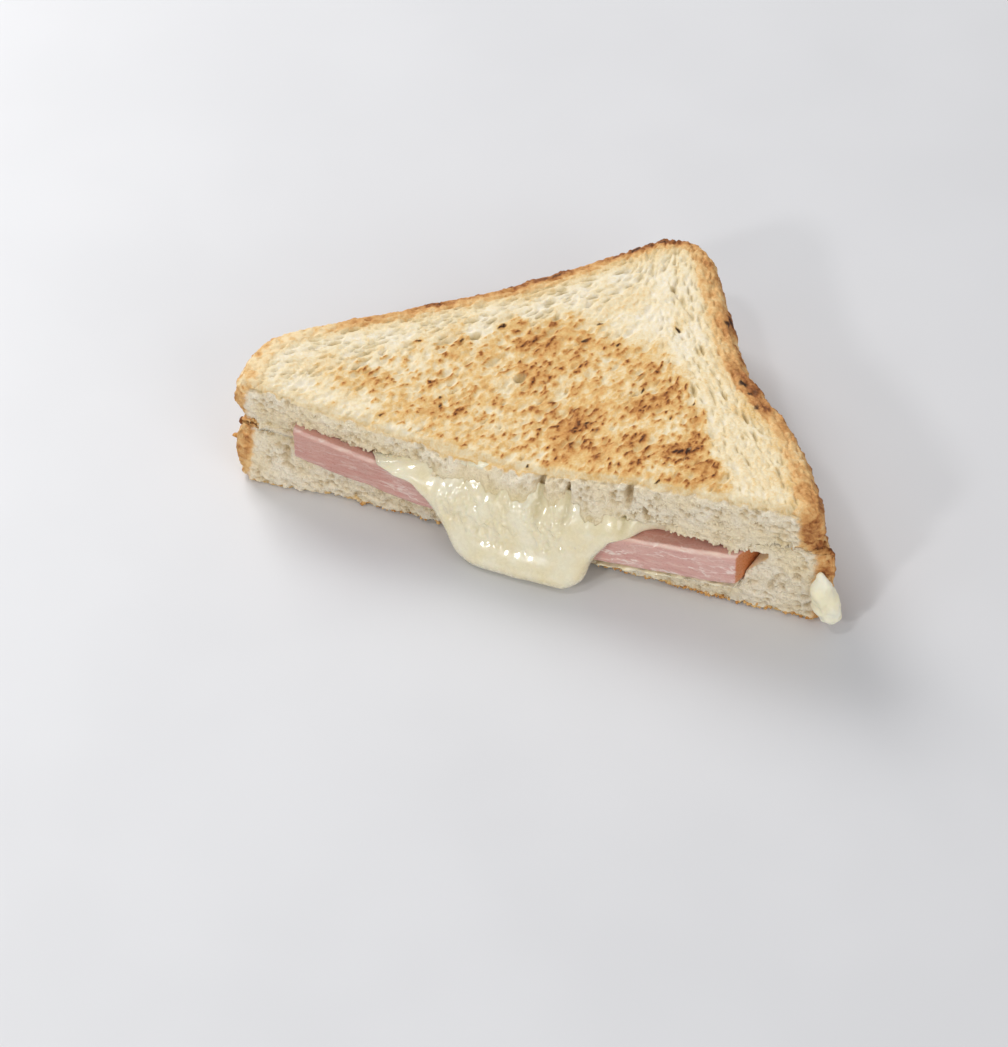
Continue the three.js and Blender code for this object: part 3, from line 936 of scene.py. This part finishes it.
def melted(node, name, seed, rounds, triangles, swell=0.0, bumps=0.0, ragged=0.0, taper=0.0):
    """A piece of melted cheese: slow runs, small wet bumps, a ragged outline and a wider foot."""
    piece = copy_of(node, name, voxel=FILLING_VOXEL, rounds=rounds)
    places, ways = places_of(piece), ways_of(piece)
    x, y, z = places.T
    runs = lumps(places, 4.5, seed, 1, (1, 2.5, 2.5))
    broad = lumps(places, 9, seed + 1, 2)
    wet = lumps(places, 2.0, seed + 2, 2, (1, 1, 1.5))
    patch = smooth(-0.5, 0.1, lumps(places, 6.0, seed + 3, 2))
    middle = smooth(0.25, 0.6, bell(x, -4, 22) * bell(z, 17, 7)) * patch
    folds = sum(strength * bell(x, at, width) for at, width, strength in CHEESE_FOLDS)
    ripple = lumps(places, 0.9, seed + 6, 1, (1, 1, 1.6))
    push = swell + 0.25 * broad + 0.2 * runs * smooth(-2, 6, z) + bumps * middle * (wet + 0.32 * ripple)
    push += ragged * (lumps(places, 4.5, seed + 4, 2) + 0.25 * lumps(places, 1.6, seed + 5, 2))
    push -= 0.9 * folds * smooth(14, 24, z) + 0.8 * smooth(-35, -42, x)
    out = smooth(-5, -8, y) * bell(x, 0, 24)
    push += out * (1.4 * bell(z, 5, 3.5) - 1.6 * bell(z, 13, 5))
    moved = places + ways * push[:, None]
    stem = moved[:, :2].mean(0) - (3.4 * taper, 0)
    share = (z - z.min()) / (z.max() - z.min())
    moved[:, :2] = stem + (moved[:, :2] - stem) * (1 + taper * (0.5 - share))[:, None]
    moved[:, 1] += 2.3 * smooth(18, 26, z) * smooth(-0.5, -2.5, y) * smooth(-36, -24, x) * smooth(26, 12, x)
    moved[:, 2] = np.maximum(moved[:, 2], 0.3)
    # Painted shade down the folds, and painted contact shadow along the lower rim of the foot.
    paint(piece, crease=np.clip(0.8 * folds * smooth(16, 24, z) + 0.4 * out * smooth(4, 1, z), 0, 1))
    move_to(piece, moved)
    thin_to(piece, triangles)
    return piece


# ---------------------------------------------------------------- crumbs


def scattered_on(piece, wanted, count, seed, near):
    """Places picked by chance from the points of a piece where a mask is on, a little off its surface."""
    picked = np.random.default_rng(seed).choice(np.flatnonzero(wanted), count, replace=False)
    return places_of(piece)[picked] + near * ways_of(piece)[picked]


def crumbs_on(piece, wanted, name, sizes, seed, near, toast, white):
    """Small torn crumbs on another piece, as one piece: each a lumpy ball pressed out of shape."""
    chance = random.Random(seed + 1)
    heap = bmesh.new()
    for place, size in zip(scattered_on(piece, wanted, len(sizes), seed, near), sizes):
        turn = Matrix.Rotation(chance.uniform(0, 6.3), 4, Vector([chance.gauss(0, 1) for _ in range(3)]))
        squash = Matrix.Diagonal([chance.uniform(0.6, 1.3) * size * MM for _ in range(3)] + [1])
        at = Matrix.Translation((Vector(place) + Vector(CUT_MIDDLE)) * MM)
        ball = bmesh.ops.create_icosphere(heap, subdivisions=2, radius=1, matrix=at @ turn @ squash)
        middle = at.to_translation()
        for vert in ball["verts"]:
            lump = noise.fractal(vert.co / (0.9 * size * MM) + Vector((seed + 1, 0, 0)), 1.0, 2.0, 2)
            vert.co = middle + (vert.co - middle) * (1 + 0.55 * lump)
            vert.co.z = max(vert.co.z, 0.0)
    crumbs = put_in_scene(heap, name)
    count = len(crumbs.data.vertices)
    shades = np.repeat([chance.uniform(-0.5, 0.5) for _ in sizes], count // len(sizes))
    paint(
        crumbs,
        toast=np.clip(toast + 0.5 * shades * toast, 0, 1),
        crumb=np.full(count, white),
        **dict.fromkeys(("crust", "pit", "burnt", "greasy"), np.zeros(count)),
        baked=0.2 * shades,
    )
    crumbs.data.shade_smooth()
    return crumbs


# ---------------------------------------------------------------- stage


def studio():
    """A plain pale floor, soft studio light and the camera."""
    ground = bmesh.new()
    bmesh.ops.create_grid(ground, x_segments=2, y_segments=2, size=2.5)
    floor = put_in_scene(ground, "floor")
    material, tree, shader = new_material("pale_floor")
    clouds = between(tree, speckle(tree, 60.0, 2.0), 0.3, 0.7)
    shade = blend(tree, clouds, rgb(222, 222, 224), rgb(219, 219, 221))
    feed(tree, shader, {"Base Color": shade, "Roughness": 0.45})
    floor.data.materials.append(material)

    scene = bpy.context.scene
    world = bpy.data.worlds.new("studio")
    world.use_nodes = True
    feed(world.node_tree, world.node_tree.nodes["Background"], {0: (0.97, 0.98, 1.0, 1.0), 1: 0.37})
    scene.world = world

    for name, at, size, power in LAMPS:
        light = bpy.data.lights.new(name, "AREA")
        light.size, light.energy = size, power
        lamp = bpy.data.objects.new(name, light)
        lamp.location = at
        lamp.rotation_mode = "QUATERNION"
        lamp.rotation_quaternion = (Vector(LAMPS_FACE) - Vector(at)).to_track_quat("-Z", "Y")
        bpy.context.collection.objects.link(lamp)

    lens = bpy.data.cameras.new("camera")
    lens.sensor_width = CAMERA_SENSOR
    lens.lens = CAMERA_LENS
    lens.clip_start, lens.clip_end = 0.05, 20.0
    camera = bpy.data.objects.new("camera", lens)
    turn = Matrix(CAMERA_WAYS).transposed().to_4x4()
    camera.matrix_world = Matrix.Translation(CAMERA_AT) @ turn
    bpy.context.collection.objects.link(camera)
    scene.camera = camera
    scene.view_settings.view_transform = "Standard"


# ---------------------------------------------------------------- putting it together

browning, crumb, crust = browning_group(), crumb_group(), crust_group()
toasted_top = bread_material("toasted_bread_top", browning, crumb, crust)
toasted_bottom = bread_material("toasted_bread_bottom", browning, crumb, crust)

top_slice = bread_slice(
    "bread_top",
    "toasted_top_slice",
    seed=3,
    griddled_up=True,
    long_holes=TORN_TOP,
    triangles=196000,
    torn=TORN_FACE,
    blisters=BLISTERS,
)
finish_piece(top_slice, toasted_top, "toasted_bread_top", "bread_top")
bottom_slice = bread_slice(
    "bread_bottom",
    "toasted_bottom_slice",
    seed=23,
    griddled_up=False,
    long_holes=TORN_BOTTOM,
    triangles=190000,
)
finish_piece(bottom_slice, toasted_bottom, "toasted_bread_bottom", "bread_bottom")

finish_piece(ham_slab("ham_slab", triangles=110000), ham_material(), "cooked_ham", "ham")

chance = random.Random(71)

# Pale crumbs along the top slice's torn lower lip, where it hangs over the ham.
(x, y, z), (_, back, up) = places_of(top_slice).T, ways_of(top_slice).T
over_ham = (x < -20) & (x > -63) | (x > 26) & (x < 62)
hanging = over_ham & (y < 1) & (up < -0.3) & (back < -0.3)
sizes = [chance.uniform(0.25, 0.6) for _ in range(90)]
fringe = crumbs_on(top_slice, hanging, "crumb_fringe", sizes, seed=72, near=0.1, toast=0.15, white=1.0)
finish_piece(fringe, toasted_top, "toasted_bread_top")

# Browned crumbs along the bottom slice's lower edge.
(x, y, z), (across, back, _) = places_of(bottom_slice).T, ways_of(bottom_slice).T
low_edge = (x > -48) & (y < 1) & (z < 1.8) & (back < -0.35)
sizes = [chance.uniform(0.2, 0.5) for _ in range(220)]
browned = crumbs_on(
    bottom_slice, low_edge, "browned_crumbs", sizes, seed=75, near=0.05, toast=0.55, white=0.0
)
finish_piece(browned, toasted_bottom, "toasted_bread_bottom")

# A few burnt flakes on the bottom slice's left end.
left_end = (across < -0.75) & (back < 0.3) & (z > 7) & (z < 14) & (x < -76)
sizes = [1.4, 1.1, 0.8, 0.6, 0.5]
flakes = crumbs_on(bottom_slice, left_end, "burnt_flakes", sizes, seed=78, near=0.3, toast=0.72, white=0.0)
finish_piece(flakes, toasted_bottom, "toasted_bread_bottom")

melted_look = cheese_material("melted_cheese", rgb(246, 237, 208), rgb(240, 226, 186), gloss=0.2, wet=1.0)
ivory_look = cheese_material("soft_cheese", rgb(255, 249, 226), rgb(253, 241, 206), gloss=0.36, wet=0.35)
tongue = melted(
    "cheese_upper",
    "cheese_tongue",
    seed=41,
    rounds=90,
    triangles=120000,
    swell=0.6,
    bumps=0.95,
)
finish_piece(tongue, melted_look, "melted_cheese", "cheese_upper")
under_ham = melted(
    "cheese_lower",
    "cheese_under_ham",
    seed=51,
    rounds=6,
    triangles=30000,
    swell=-0.25,
    bumps=0.1,
    ragged=0.8,
)
finish_piece(under_ham, melted_look, "melted_cheese", "cheese_lower")
corner = melted(
    "cheese_corner",
    "cheese_on_corner",
    seed=61,
    rounds=18,
    triangles=30000,
    ragged=1.0,
    taper=0.4,
)
finish_piece(corner, ivory_look, "soft_cheese", "cheese_corner")

studio()
